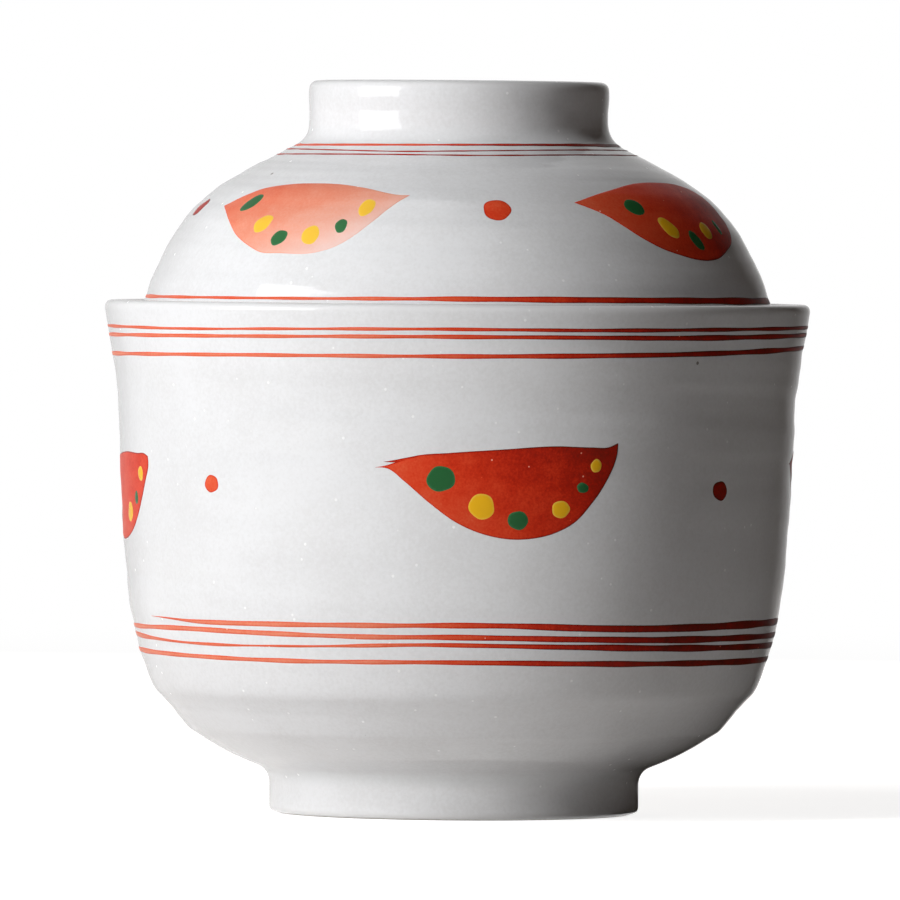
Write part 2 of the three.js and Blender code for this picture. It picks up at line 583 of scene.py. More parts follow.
@dataclass(frozen=True)
class Glaze:
    """White glaze on porcelain, faintly clouded, with pinholes whose white is partly a painted glint, iron
    specks and an uneven gloss.
    """

    white: Colour = (0.88, 0.882, 0.892)
    clouded: Colour = (0.815, 0.812, 0.815)
    pooled: Colour = (0.77, 0.79, 0.80)  # in the hollows
    thin: Colour = (0.87, 0.865, 0.865)  # on the edges
    # pure white of the pinholes, partly a painted glint of light on their pits
    pinhole_glint: Colour = (1.0, 1.0, 1.0)
    iron: Colour = (0.17, 0.14, 0.12)
    cloud_size: float = 11.0
    grain_size: float = 0.45
    wave_size: float = 3.6
    pinholes: Point = (3.2, 0.27)  # spacing and radius
    iron_specks: Point = (11.0, 0.3)  # spacing and radius
    clouding: Point = (0.42, 0.82)  # pattern between which the glaze turns cloudy
    pooling: Point = (0.1, 0.7)  # sharpness of a hollow between which the glaze pools
    thinning: Point = (0.3, 1.0)  # sharpness of an edge between which the glaze thins
    dulling: Point = (0.8, 1.4)  # pattern between which the gloss dulls
    gloss: float = 0.04
    dulled: float = 0.06  # roughness that dull patches add
    unevenness: float = 0.035
    mirror: float = 0.7  # level of the reflections

    def material(self) -> bpy.types.Material:
        """Wires the finish up.

        Returns:
            The finished material.
        """
        bench, material = Bench.for_material(Slot.GLAZE.value)
        clouds = bench.noise(self.cloud_size, seed=1.0, detail=4.0)
        grain = bench.noise(self.grain_size, seed=2.0)
        waves = bench.noise(self.wave_size, seed=3.0, detail=3.0)
        bend = bench.trait(Trait.BEND)
        pale = bench.specks(*self.pinholes, seed=4.0)
        dark = bench.specks(*self.iron_specks, seed=6.0)
        cloudy = bench.step(0.6 * clouds + 0.6 * grain, *self.clouding)
        colour = bench.mix(self.white, self.clouded, cloudy)
        colour = bench.mix(colour, self.pooled, 0.7 * bench.step(0 - bend, *self.pooling))
        colour = bench.mix(colour, self.thin, 0.6 * bench.step(bend, *self.thinning))
        # Pinholes are lifted to pure white, partly as painted glints.
        colour = bench.mix(colour, self.pinhole_glint, pale)
        colour = bench.mix(colour, self.iron, 0.8 * dark)
        dull = bench.step(grain + waves, *self.dulling)
        roughness = self.gloss + self.dulled * dull + 0.25 * pale
        relief = bench.bump(waves + 0.12 * grain + 0.5 * pale - 0.4 * dark, self.unevenness)
        bench.surface(colour, roughness, relief, self.mirror)
        return material


@dataclass(frozen=True)
class BarePorcelain:
    """Fired porcelain that was wiped clean of glaze: matt, faintly warm and finely grained."""

    warm: Colour = (0.72, 0.67, 0.60)
    pale: Colour = (0.80, 0.77, 0.72)
    grit: Colour = (0.45, 0.38, 0.32)
    stain_size: float = 5.0
    grain_size: float = 0.35
    grits: Point = (2.4, 0.16)  # spacing and radius
    staining: Point = (0.4, 0.9)  # pattern between which the clay turns paler
    matt: float = 0.62
    unevenness: float = 0.05

    def material(self) -> bpy.types.Material:
        """Wires the finish up.

        Returns:
            The finished material.
        """
        bench, material = Bench.for_material(Slot.BARE.value)
        stains = bench.noise(self.stain_size, seed=11.0, detail=4.0)
        grain = bench.noise(self.grain_size, seed=12.0)
        grits = bench.specks(*self.grits, seed=13.0)
        colour = bench.mix(self.warm, self.pale, bench.step(stains + 0.3 * grain, *self.staining))
        colour = bench.mix(colour, self.grit, 0.5 * grits)
        bench.surface(colour, self.matt + 0.2 * grain, bench.bump(grain, self.unevenness))
        return material


@dataclass(frozen=True)
class RedEnamel:
    """Thin iron-red enamel, which deepens with the paint of each stroke and gathers at its rim."""

    ground: Colour = (1.0, 0.87, 0.87)  # glaze under the paint
    full_coat: Colour = (0.79, 0.075, 0.024)  # share of the light that comes back through a full coat
    pooled: Colour = (0.30, 0.014, 0.005)
    thick: Colour = (0.13, 0.014, 0.006)
    gathered: float = 0.7  # paint added at the rim
    rim_width: float = 0.28
    pooling: Point = (1.0, 1.9)  # paint between which it pools
    thickening: Point = (1.6, 2.3)  # paint between which it turns thick
    streak_width: float = 1.1
    streak_length: float = 5.0  # for each width
    cloud_size: float = 3.2
    grain_size: float = 0.3
    missed_spots: Point = (2.6, 0.16)  # spacing and radius
    gloss: float = 0.28
    unevenness: float = 0.012
    mirror: float = 0.1  # level of the reflections

    def material(self) -> bpy.types.Material:
        """Wires the finish up.

        Returns:
            The finished material.
        """
        bench, material = Bench.for_material(Slot.RED.value)
        coat, rim = bench.trait(Trait.COAT), bench.trait(Trait.RIM)
        along, across = bench.trait(Trait.ALONG), bench.trait(Trait.ACROSS)
        place = {"X": along * (MM / self.streak_length), "Y": across * MM}
        stroke = bench.node("CombineXYZ", None, place)
        streaks = bench.noise(self.streak_width, seed=21.0, detail=3.0, where=stroke)
        clouds = bench.noise(self.cloud_size, seed=22.0, detail=3.0)
        grain = bench.noise(self.grain_size, seed=23.0)
        missed = bench.specks(*self.missed_spots, seed=24.0)
        paint = coat * (0.45 + 0.2 * streaks + 0.45 * clouds + 0.45 * grain)
        paint = paint + coat * self.gathered * (1 - bench.step(rim, 0.0, self.rim_width))
        paint = paint * (1 - 0.85 * missed)
        tones = [ground * full**paint for ground, full in zip(self.ground, self.full_coat)]
        colour = bench.node("CombineColor", None, dict(zip(("Red", "Green", "Blue"), tones)))
        colour = bench.mix(colour, self.pooled, bench.step(paint, *self.pooling))
        colour = bench.mix(colour, self.thick, bench.step(paint, *self.thickening))
        relief = bench.bump(streaks + clouds + grain, self.unevenness)
        bench.surface(colour, self.gloss + 0.12 * clouds, relief, self.mirror)
        return material


@dataclass(frozen=True)
class DotEnamel:
    """Glassy enamel of the small dots, deeper where it lies thicker."""

    slot: Slot
    deep: Colour
    thin: Colour
    seed: float
    cloud_size: float = 1.3
    grain_size: float = 0.3
    bubbles: Point = (1.5, 0.1)  # spacing and radius
    deepening: Point = (0.25, 0.8)  # distance from the rim between which it deepens
    gloss: float = 0.14
    unevenness: float = 0.03
    mirror: float = 0.12  # level of the reflections

    def material(self) -> bpy.types.Material:
        """Wires the finish up.

        Returns:
            The finished material.
        """
        bench, material = Bench.for_material(self.slot.value)
        clouds = bench.noise(self.cloud_size, self.seed, detail=3.0)
        grain = bench.noise(self.grain_size, self.seed + 1)
        bubbles = bench.specks(*self.bubbles, self.seed + 2)
        depth = bench.step(bench.trait(Trait.RIM) + 0.4 * clouds + 0.4 * grain, *self.deepening)
        colour = bench.mix(self.thin, self.deep, depth * bench.trait(Trait.COAT))
        colour = bench.mix(colour, self.thin, 0.6 * bubbles)
        relief = bench.bump(clouds - 0.5 * bubbles, self.unevenness)
        bench.surface(colour, self.gloss + 0.12 * clouds, relief, self.mirror)
        return material


class Enamel:
    """Flakes of one enamel on one piece, gathered into a single mesh."""

    SINK = 0.08  # how far a flake reaches into the glaze under it

    def __init__(self, skin: Skin) -> None:
        """Starts with nothing painted.

        Args:
            skin: Surface that the flakes lie on.
        """
        self.skin = skin
        self.points: list[Array] = []
        self.faces: list[Array] = []
        self.traits: dict[Trait, list[Array]] = {}

    def add(
        self,
        angles: Array,
        along: Array,
        lift: Array,
        traits: dict[Trait, Array | float],
        ring: bool = False,
    ) -> None:
        """Adds a closed flake over a grid of points.

        Args:
            angles: Angles of the points round the axis, in radians.
            along: Distances of the points along the profile.
            lift: Heights of the points over the surface.
            traits: Values at the points.
            ring: Whether the last column joins the first, round a first row that is one point.
        """
        rows, columns = angles.shape
        start, size = sum(len(points) for points in self.points), rows * columns
        top = grid_faces(rows, columns, ring)
        number = np.arange(size).reshape(rows, columns)
        if ring:
            border = np.append(number[-1], number[-1, 0])[::-1]
        else:
            border = np.concatenate([number[0], number[1:, -1], number[-1, -2::-1], number[-2::-1, 0]])
        sides = np.stack([border[:-1], border[:-1] + size, border[1:] + size, border[1:]], axis=1)
        for height in (lift, -self.SINK):
            self.points.append(self.skin.place(angles, along, height).reshape(-1, 3))
        self.faces.append(np.concatenate([top, top[:, ::-1] + size, sides]) + start)
        for trait, values in traits.items():
            spread = np.broadcast_to(values, angles.shape).ravel()
            self.traits.setdefault(trait, []).append(np.tile(spread, 2))

    def piece(self, name: str) -> bpy.types.Object:
        """The flakes as one object."""
        traits = {trait: np.concatenate(values) for trait, values in self.traits.items()}
        return mesh_piece(name, np.concatenate(self.points), np.concatenate(self.faces), traits)


@dataclass(frozen=True)
class BrushLine:
    """Line brushed round a piece on the wheel, by touches of angle, height and width."""

    touches: tuple[tuple[float, float, float], ...]  # past 360 degrees it goes round again
    coats_with_painted_shade: Point  # paint on the viewer's left and on the right, heavier on the right partly as painted shade
    taper: float = 16.0  # degrees over which the brush comes down or lifts off
    lift: float = 0.04

    STEP = 1.25  # degrees between the points along a line
    SECTION = (-1.0, -0.86, -0.6, -0.2, 0.2, 0.6, 0.86, 1.0)  # points across, as shares of half the width
    SWELLS = ((0.05, 7.3, 0.0), (0.05, 17.9, 1.0))  # of the width: height, pace and shift
    TREMBLE = (0.03, 23.0, 2.0)  # of the hand: height, pace and shift between the edges
    EASE = 0.7  # power by which the ends narrow
    SHADE_SIDES = (-0.25, 0.75)  # shares of the radius to the right, between which the paint changes from the lit side to the painted shade
    STREAKS_APART = 7.0  # for each millimetre of height, so that each turn has its own streaks

    def paint(self, enamel: Enamel) -> None:
        """Lays the line down.

        Args:
            enamel: Flakes that the line is added to.
        """
        turns = np.array([touch[0] for touch in self.touches])
        angles = np.linspace(turns[0], turns[-1], round((turns[-1] - turns[0]) / self.STEP) + 1)
        heights, widths = through([touch[1:] for touch in self.touches], turns, angles).T
        travel = np.radians(angles)
        swell = sum(rise * np.sin(pace * travel + shift) for rise, pace, shift in self.SWELLS)
        ends = np.minimum(angles - turns[0], turns[-1] - angles) / self.taper
        half = 0.5 * widths * (1 + swell) * np.clip(ends, 0.0, 1.0) ** self.EASE
        share = np.array(self.SECTION)[:, None]
        centre = np.interp(heights, enamel.skin.profile[:, 1], enamel.skin.lengths)
        rise, pace, shift = self.TREMBLE
        across = share * half + rise * np.sin(pace * travel + shift * share)
        traits = {
            # The paint deepens towards the viewer's right, partly as painted shade on the shaded side.
            Trait.COAT: np.interp(np.sin(travel), self.SHADE_SIDES, self.coats_with_painted_shade),
            Trait.RIM: (1 - np.abs(share)) * half,
            Trait.ALONG: travel * enamel.skin.radius_at(centre),
            Trait.ACROSS: across + self.STREAKS_APART * heights,
        }
        enamel.add(np.broadcast_to(travel, across.shape), centre + across, domed(self.lift, share), traits)


@dataclass(frozen=True)
class Dot:
    """Dot of enamel, placed by its distances to the right of and above its own middle or its leaf's."""

    right: float
    up: float
    half_width: float
    half_height: float
    tilt: float = 0.0
    seed: float = 0.0
    coat: float = 1.0

    DOME = 0.06  # how far the middle stands out
    BUMPS = ((0.04, 2, 1.0), (0.025, 3, 2.7), (0.02, 5, 4.1))  # of the edge: height, lobes, turn by seed
    RINGS = (0.0, 0.3, 0.55, 0.75, 0.88, 0.96, 1.0)  # shares of the radius
    SPOKES = 48

    def paint(self, enamel: Enamel, angle: float, height: float, under: float = 0.0) -> None:
        """Lays the dot down.

        Args:
            enamel: Flakes that the dot is added to.
            angle: Angle of the middle that the dot is placed from.
            height: Height of that middle.
            under: Thickness of the paint that the dot lies on.
        """
        spin = -np.linspace(0, TURN, self.SPOKES, endpoint=False)
        bumps = sum(rise * np.sin(lobes * spin + turn * self.seed) for rise, lobes, turn in self.BUMPS)
        share = np.array(self.RINGS)[:, None]
        reach = share * (1 + bumps)
        wide, high = reach * np.cos(spin) * self.half_width, reach * np.sin(spin) * self.half_height
        lean = math.radians(self.tilt)
        right = self.right + wide * math.cos(lean) - high * math.sin(lean)
        up = self.up + wide * math.sin(lean) + high * math.cos(lean)
        along = enamel.skin.length_at(height) + up
        angles = math.radians(angle) + right / enamel.skin.radius_at(along)
        rim = (1 - share) * min(self.half_width, self.half_height)
        traits = {Trait.COAT: self.coat, Trait.RIM: rim, Trait.ALONG: right, Trait.ACROSS: up}
        enamel.add(angles, along, under + domed(self.DOME, share), traits, ring=True)

    def moved(self, wide: float, high: float, seed: float) -> "Dot":
        """Same dot in a leaf that is stretched, with its edge a little different."""
        return replace(self, right=wide * self.right, up=high * self.up, seed=self.seed + seed)


@dataclass(frozen=True)
class Wash:
    """Paint in a leaf."""

    full: float  # coat at its left end and its upper edge
    lost_right: float = 0.0  # coat that is gone at its right end; where negative it adds coat there, partly as painted shade
    lost_down: float = 0.0  # coat that is gone at its lower edge


@dataclass(frozen=True)
class Leaf:
    """Leaf brushed in red, with its two edges from the left tip to the right tip, and its dots."""

    angle: float
    height: float
    upper: tuple[Point, ...]
    lower: tuple[Point, ...]
    wash: Wash
    green: tuple[Dot, ...]
    yellow: tuple[Dot, ...]

    COLUMNS = 110
    ROWS = 30
    LIFT = 0.045
    LEAST_COAT = 0.06
    BEVEL = 0.3  # width of the edge
    BEVEL_START = 0.25  # share of the bevel that is gone at once

    def paint(self, enamel: Enamel) -> None:
        """Lays the leaf down without its dots.

        Args:
            enamel: Flakes that the leaf is added to.
        """
        edges = []
        for knots in (self.lower, self.upper):
            places = lengths_along(np.array(knots))
            edges.append(through(knots, places, np.linspace(0, places[-1], self.COLUMNS + 1)))
        share = 0.5 - 0.5 * np.cos(np.linspace(0, math.pi, self.ROWS + 1))[:, None, None]
        spots = (1 - share) * edges[0] + share * edges[1]
        outline = np.vstack([edges[0], edges[1][::-1]])
        gaps = spots[:, :, None, :] - outline[None, None]
        rim = np.sqrt((gaps**2).sum(-1).min(-1))
        right, up = spots[..., 0], spots[..., 1]
        wide, high = np.ptp(outline[:, 0]), np.ptp(outline[:, 1])
        gone = self.wash.lost_right * (right - right.min()) / wide
        gone = gone + self.wash.lost_down * (up.max() - up) / high
        coat = np.maximum(self.wash.full - gone, self.LEAST_COAT)
        along = enamel.skin.length_at(self.height) + up
        angles = math.radians(self.angle) + right / enamel.skin.radius_at(along)
        rising = smooth(self.BEVEL_START + rim / self.BEVEL) * (rim > WELD)
        lift = (self.LIFT + EDGE_SINK) * rising - EDGE_SINK
        traits = {Trait.COAT: coat, Trait.RIM: rim, Trait.ALONG: right, Trait.ACROSS: up}
        enamel.add(angles, along, lift, traits)

    def moved(self, angle: float, height: float, wide: float, high: float, wash: Wash) -> "Leaf":
        """Brushes the same leaf again elsewhere, a little different.

        Args:
            angle: Angle of its middle.
            height: Height of its middle.
            wide: Stretch of its width, which mirrors it where negative.
            high: Stretch of its height.
            wash: Paint in it.

        Returns:
            The other leaf.
        """
        upper, lower = (tuple((wide * x, high * y) for x, y in edge) for edge in (self.upper, self.lower))
        if wide < 0:
            upper, lower = upper[::-1], lower[::-1]
        green, yellow = (
            tuple(dot.moved(wide, high, angle) for dot in dots) for dots in (self.green, self.yellow)
        )
        return Leaf(angle, height, upper, lower, wash, green, yellow)


@dataclass
class Pot:
    """Turned porcelain piece with its brushwork."""

    finishes: dict[Slot, bpy.types.Material]
    name: str = ""  # of the body that it rides on and the node that it replaces
    lines: tuple[BrushLine, ...] = ()
    leaves: tuple[Leaf, ...] = ()
    spots: tuple[tuple[float, float, Dot], ...] = ()  # angle and height of each red dot
    wall: float = 3.4
    bare_step: float = 0.12  # depth of the wiped clay under the glaze
    core: float = 0.3  # thickness of the clay rings that show

    def settle(self, piece: bpy.types.Object, slot: Slot) -> bpy.types.Object:
        """Dresses a piece and sets it on its body.

        Args:
            piece: Finished piece.
            slot: Slot that it takes its finish from.

        Returns:
            The same piece.
        """
        piece.data.materials.append(self.finishes[slot])
        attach(piece, self.name)
        faces = len(piece.data.polygons)
        log.info("%s: %d faces, %s, rides on %s", piece.name, faces, slot.value, self.name)
        return piece

    def decorate(self, skin: Skin) -> None:
        """Brushes the lines, the leaves and the dots on.

        Args:
            skin: Outside that they are painted on.
        """
        red_lines, red_leaves, red_dots, green, yellow = (Enamel(skin) for _ in range(5))
        for line in self.lines:
            line.paint(red_lines)
        for leaf in self.leaves:
            leaf.paint(red_leaves)
            for dots, enamel in ((leaf.green, green), (leaf.yellow, yellow)):
                for dot in dots:
                    dot.paint(enamel, leaf.angle, leaf.height, Leaf.LIFT)
        for angle, height, dot in self.spots:
            dot.paint(red_dots, angle, height)
        painted = (
            ("lines", Slot.RED, red_lines),
            ("leaves", Slot.RED, red_leaves),
            ("red_dots", Slot.RED, red_dots),
            ("green_dots", Slot.GREEN, green),
            ("yellow_dots", Slot.YELLOW, yellow),
        )
        for kind, slot, enamel in painted:
            self.settle(enamel.piece(f"{self.name}_{kind}"), slot)

    def inner_wall(self, outside: Array, start: float, end: float) -> Array:
        """Follows the outside at the thickness of the wall.

        Args:
            outside: Points of the outside.
            start: Share of its length where the inside starts.
            end: Share of its length where the inside ends.

        Returns:
            Points of the inside.
        """
        lengths = lengths_along(outside)
        wanted = np.linspace(start, end, CURVE_STEPS) * lengths[-1]
        faces = np.stack([np.interp(wanted, lengths, column) for column in outward(outside).T], axis=1)
        return at_lengths(outside, wanted) - self.wall * faces


SWEPT_LEAF = Leaf(
    angle=7.3,
    height=46.8,
    upper=(
        (-17.7, 3.0), (-16.0, 3.3), (-14.4, 3.85), (-12.0, 4.65), (-7.0, 5.15), (0.0, 5.65),
        (8.0, 6.15), (13.2, 6.0), (15.9, 6.05), (17.3, 6.65),
    ),
    lower=(
        (-17.7, 3.0), (-15.8, 2.9), (-13.3, 1.1), (-9.5, -2.1), (-5.7, -4.75), (-2.0, -6.25),
        (1.8, -6.9), (4.5, -6.8), (8.1, -5.95), (10.7, -4.6), (13.3, -1.9), (15.5, 1.1), (17.1, 4.7),
        (17.3, 6.65),
    ),
    # The wash grows heavier towards the right, partly as painted shade where the bowl turns away from the
    # light.
    wash=Wash(0.95, lost_right=-0.75, lost_down=0.3),
    green=(
        Dot(-8.2, 1.5, 2.0, 1.9, seed=1.0),
        Dot(2.6, -4.2, 1.45, 1.4, seed=2.0),
        Dot(11.9, 0.35, 0.9, 0.75, seed=3.0),
    ),
    yellow=(
        Dot(-2.5, -2.3, 1.9, 1.8, seed=4.0),
        Dot(8.7, -2.65, 1.4, 1.2, seed=5.0),
        Dot(13.9, 3.4, 0.85, 0.95, seed=6.0),
    ),
)
STRAY_HAIR = replace(
    SWEPT_LEAF,
    upper=((-16.5, 3.8), (-15.2, 4.0), (-13.5, 4.35), (-11.5, 4.75)),
    lower=((-16.5, 3.8), (-15.2, 3.7), (-13.5, 3.85), (-11.5, 4.3)),
    wash=Wash(1.1),
    green=(),
    yellow=(),
)
SNUB_LEAF = replace(
    SWEPT_LEAF,
    upper=SWEPT_LEAF.upper[:-2] + ((15.9, 6.0), (17.3, 5.6)),
    lower=SWEPT_LEAF.lower[:-2] + ((17.4, 4.6), (17.3, 5.6)),
    green=(Dot(-4.6, -3.4, 1.45, 1.4, seed=2.0), Dot(11.9, -0.6, 0.8, 0.95, seed=3.0)),
    yellow=(Dot(8.2, -2.75, 1.4, 1.5, seed=5.0), Dot(14.3, 3.0, 0.95, 1.1, seed=6.0)),
)
BLUNT_LEAF = Leaf(
    angle=-31.9,
    height=84.3,
    upper=(
        (-20.0, 2.2), (-16.5, 4.0), (-12.5, 5.9), (-7.2, 7.2), (-3.2, 7.4), (1.9, 7.1), (5.8, 6.2),
        (9.2, 5.1), (11.2, 4.65), (13.0, 4.6),
    ),
    lower=(
        (-20.0, 2.2), (-19.1, 1.6), (-16.6, -0.3), (-13.2, -3.0), (-9.6, -4.8), (-7.0, -5.75),
        (-3.7, -5.85), (2.4, -5.7), (4.5, -5.05), (7.2, -3.3), (9.4, -0.8), (11.2, 2.2), (13.0, 4.6),
    ),
    wash=Wash(0.75, lost_right=0.45, lost_down=0.35),
    green=(
        Dot(-13.0, 2.8, 2.3, 1.1, 39.0, 7.0),
        Dot(-4.5, -3.35, 1.45, 1.2, 36.0, 8.0, coat=0.7),
        Dot(5.1, -1.35, 0.9, 1.25, 5.0, 9.0, coat=0.5),
    ),
    yellow=(
        Dot(-8.4, -1.05, 1.9, 1.25, 45.0, 10.0, coat=0.6),
        Dot(0.75, -2.9, 1.5, 1.5, 0.0, 11.0, coat=0.5),
        Dot(7.7, 2.0, 1.2, 1.6, 8.0, 12.0, coat=0.6),
    ),
)
POINTED_LEAF = Leaf(
    angle=46.0,
    height=84.65,
    upper=(
        (-12.6, 2.75), (-4.9, 5.5), (2.3, 7.5), (7.9, 7.75), (14.0, 7.1), (18.5, 5.2), (20.3, 2.6),
        (20.7, -0.8),
    ),
    lower=(
        (-12.6, 2.75), (-9.5, 0.9), (-5.0, -3.2), (-2.1, -4.9), (1.9, -6.2), (4.5, -6.8), (11.0, -6.7),
        (15.0, -5.4), (19.0, -3.6), (20.7, -0.8),
    ),
    # The wash grows heavier towards the right, partly as painted shade on the shaded side of the lid.
    wash=Wash(0.72, lost_right=-0.75),
    green=(
        Dot(-2.8, 1.95, 1.7, 1.6, -16.0, 13.0),
        Dot(6.8, -3.85, 1.8, 1.1, -52.0, 14.0),
        Dot(15.1, -1.6, 1.3, 0.7, -72.0, 15.0),
    ),
    yellow=(Dot(1.7, -1.75, 2.1, 1.35, -47.0, 16.0), Dot(10.6, -2.2, 1.55, 1.3, -54.0, 17.0)),
)


@dataclass
class Bowl(Pot):
    """Footed bowl with a flared lip and a ledge for the lid."""

    name: str = "bowl"
    # Each line's paint runs heavier on the shaded right, partly as painted shade.
    lines: tuple[BrushLine, ...] = (
        BrushLine(
            touches=(
                (-68.3, 28.15, 0.3), (-61.4, 28.0, 0.4), (-52.5, 27.72, 0.7), (-43.0, 27.7, 0.75),
                (-14.0, 27.83, 0.8), (7.0, 27.95, 0.85), (29.0, 27.5, 1.15), (68.0, 27.68, 1.15),
                (180.0, 27.2, 0.9), (283.0, 26.47, 0.75), (303.0, 26.65, 0.75), (327.0, 26.37, 0.8),
                (346.0, 26.2, 0.75), (358.0, 26.27, 0.8), (379.0, 26.08, 1.0), (395.0, 25.88, 1.05),
                (430.0, 25.82, 1.0), (540.0, 25.4, 0.8), (650.0, 24.95, 0.6), (659.0, 24.72, 0.35),
                (668.0, 24.57, 0.5), (687.0, 24.65, 0.32), (697.0, 24.8, 0.42), (712.0, 25.15, 0.6),
                (739.0, 24.97, 0.85), (760.0, 24.67, 1.05), (791.0, 24.43, 1.0), (900.0, 23.7, 0.8),
                (1011.0, 22.95, 0.75), (1051.0, 22.62, 0.65), (1078.0, 22.77, 0.75),
                (1120.0, 22.5, 1.0), (1154.0, 22.37, 1.0), (1245.0, 22.3, 0.7),
            ),
            coats_with_painted_shade=(0.48, 1.95),
        ),
        BrushLine(
            touches=(
                (-150.0, 64.55, 0.7), (-69.0, 65.0, 0.62), (-35.0, 65.2, 0.55), (6.0, 65.33, 0.68),
                (36.0, 65.62, 0.82), (69.0, 66.2, 0.8), (180.0, 67.15, 0.7), (292.0, 67.65, 0.58),
                (320.0, 67.77, 0.55), (350.0, 67.97, 0.58), (375.0, 68.0, 0.68), (400.0, 67.95, 0.82),
                (420.0, 68.1, 0.8), (540.0, 68.55, 0.7), (653.0, 68.77, 0.45), (669.0, 68.7, 0.43),
                (694.0, 68.92, 0.42), (718.0, 69.05, 0.52), (742.0, 69.0, 0.58), (778.0, 69.2, 0.62),
                (880.0, 69.45, 0.5),
            ),
            coats_with_painted_shade=(0.5, 1.65),
        ),
    )
    leaves: tuple[Leaf, ...] = (
        SWEPT_LEAF,
        STRAY_HAIR,
        SNUB_LEAF.moved(-85.5, 45.3, 0.98, 0.96, Wash(1.1, lost_down=0.1)),
        SWEPT_LEAF.moved(101.2, 47.2, 1.0, 0.93, Wash(1.5, lost_right=0.5)),
        SWEPT_LEAF.moved(-170.0, 47.2, -0.95, 1.03, Wash(0.9, lost_right=0.3, lost_down=0.1)),
    )
    spots: tuple[tuple[float, float, Dot], ...] = (
        (-45.8, 47.1, Dot(0, 0, 1.35, 1.3, seed=1.0, coat=0.8)),
        (50.9, 46.6, Dot(0, 0, 1.6, 1.45, seed=2.0, coat=1.7)),
        (147.0, 47.3, Dot(0, 0, 1.5, 1.4, seed=3.0)),
        (-128.0, 46.5, Dot(0, 0, 1.45, 1.3, seed=4.0)),
    )
    floor_thickness: float = 4.5
    base_slope: float = 21.5  # degrees that the base rises from the foot
    wall_lean: float = 2.7  # degrees that the wall opens from upright
    flare_height: float = 16.0  # stretch below the top of the lip that flares
    flare_reach: float = 2.0  # how far the lip stands out from the wall under it
    flare_lean: float = 8.0  # degrees that the lip opens at its top
    lip_wall: float = 3.3
    lip_round: float = 1.1
    ledge_depth: float = 3.0  # from the top of the lip
    ledge_width: float = 3.5
    ledge_round: float = 0.8
    ledge_skirt: float = 6.0  # upright face below the ledge
    foot_radius: float = 26.2
    foot_height: float = 6.1  # up to where the base would meet the ring
    foot_ring_width: float = 4.0
    foot_recess: float = 5.0
    foot_round: float = 0.8
    foot_edge: float = 1.0  # rounding of the foot's outer edge
    foot_fillet: float = 2.0
    base_fullness: float = 0.96  # reach of a curve's handle across its span, as the next two are
    wall_fullness: float = 0.65
    flare_fullness: float = 0.3
    floor_share: float = 0.15  # share of the belly over which the inside runs level instead
    relief: Relief = Relief(
        ring_pitch=8.6,
        ring_rise=0.085,
        sway=0.05,
        facets=(
            (6.4, 0.0), (8.4, 0.15), (11.0, 0.18), (12.2, 0.34), (13.4, 0.05), (14.8, -0.15),
            (16.2, -0.02), (17.5, 0.27), (18.3, 0.27), (21.0, 0.0),
        ),
        smoothed=26.0,
    )
    inner_relief: Relief = Relief(ring_pitch=6.5, ring_rise=0.07, sway=0.03, margin=8.0)
    rim_radius: float = field(init=False)
    height: float = field(init=False)

    def __post_init__(self) -> None:
        """Takes the overall size from the frame."""
        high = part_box(self.name)[1] / MM
        self.rim_radius, self.height = high.x, high.z

    def belly(self) -> Array:
        """Curves the outside from the foot ring to the start of the flare.

        Returns:
            Points of the profile.
        """
        start = (self.foot_radius, self.foot_height)
        end = (self.rim_radius - self.flare_reach, self.height - self.flare_height)
        run = self.base_fullness * (end[0] - start[0])
        rise = self.wall_fullness * (end[1] - start[1])
        base_handle = (start[0] + run, start[1] + run * slope(self.base_slope))
        wall_handle = (end[0] - rise * slope(self.wall_lean), end[1] - rise)
        return cubic(start, base_handle, wall_handle, end)

    def flare(self) -> Array:
        """Curves the outside from the start of the flare to the round of the lip.

        Returns:
            Points of the profile.
        """
        start = (self.rim_radius - self.flare_reach, self.height - self.flare_height)
        end = (self.rim_radius, self.height - self.lip_round)
        rise = self.flare_fullness * (end[1] - start[1])
        wall_handle = (start[0], start[1] + rise)
        lip_handle = (end[0] - rise * slope(self.flare_lean), end[1] - rise)
        return cubic(start, wall_handle, lip_handle, end)

    def under(self) -> Skin:
        """Underside from the axis to the outside of the foot.

        Returns:
            The stretch of surface there.
        """
        inner, outer = self.foot_radius - self.foot_ring_width, self.foot_radius
        wiped = (inner + self.foot_round, outer - self.foot_edge)
        return Skin(rounded((
            (0, self.foot_recess),
            (inner, self.foot_recess, self.foot_round),
            (inner, self.bare_step, self.foot_round),
            (wiped[0] + self.core, self.bare_step, self.bare_step),
            (wiped[0] + self.core, self.core),
            (wiped[1] - self.core, self.core),
            (wiped[1] - self.core, self.bare_step, self.bare_step),
            (outer, self.bare_step, self.foot_edge),
            (outer, self.foot_edge + 2 * self.bare_step),
        )))

    def outside(self) -> Skin:
        """Outside from the edge of the foot to the round of the lip.

        Returns:
            The stretch of surface there.
        """
        belly = self.belly()
        leaves = at_lengths(belly, np.array([self.foot_fillet]))[0]
        foot = (self.foot_radius, self.foot_height)
        fillet = quadratic((foot[0], foot[1] - self.foot_fillet), foot, leaves, ROUND_STEPS)
        start = np.array([[self.foot_radius, self.foot_edge + 2 * self.bare_step]])
        above = belly[lengths_along(belly) > self.foot_fillet]
        profile = np.vstack([start, fillet, above, self.flare()[1:]])
        return Skin(respaced(profile, SKIN_SPACING), self.relief)

    def lip(self) -> Skin:
        """Lip, ledge and the upright face below it.

        Returns:
            The stretch of surface there.
        """
        lip_inner, ledge = self.rim_radius - self.lip_wall, self.height - self.ledge_depth
        ledge_inner = lip_inner - self.ledge_width
        return Skin(rounded((
            (self.rim_radius, self.height - self.lip_round),
            (self.rim_radius, self.height, self.lip_round),
            (lip_inner, self.height, self.lip_round),
            (lip_inner, ledge - self.bare_step, self.ledge_round),
            (ledge_inner, ledge - self.bare_step, self.ledge_round),
            (ledge_inner, ledge - self.ledge_skirt),
        )))

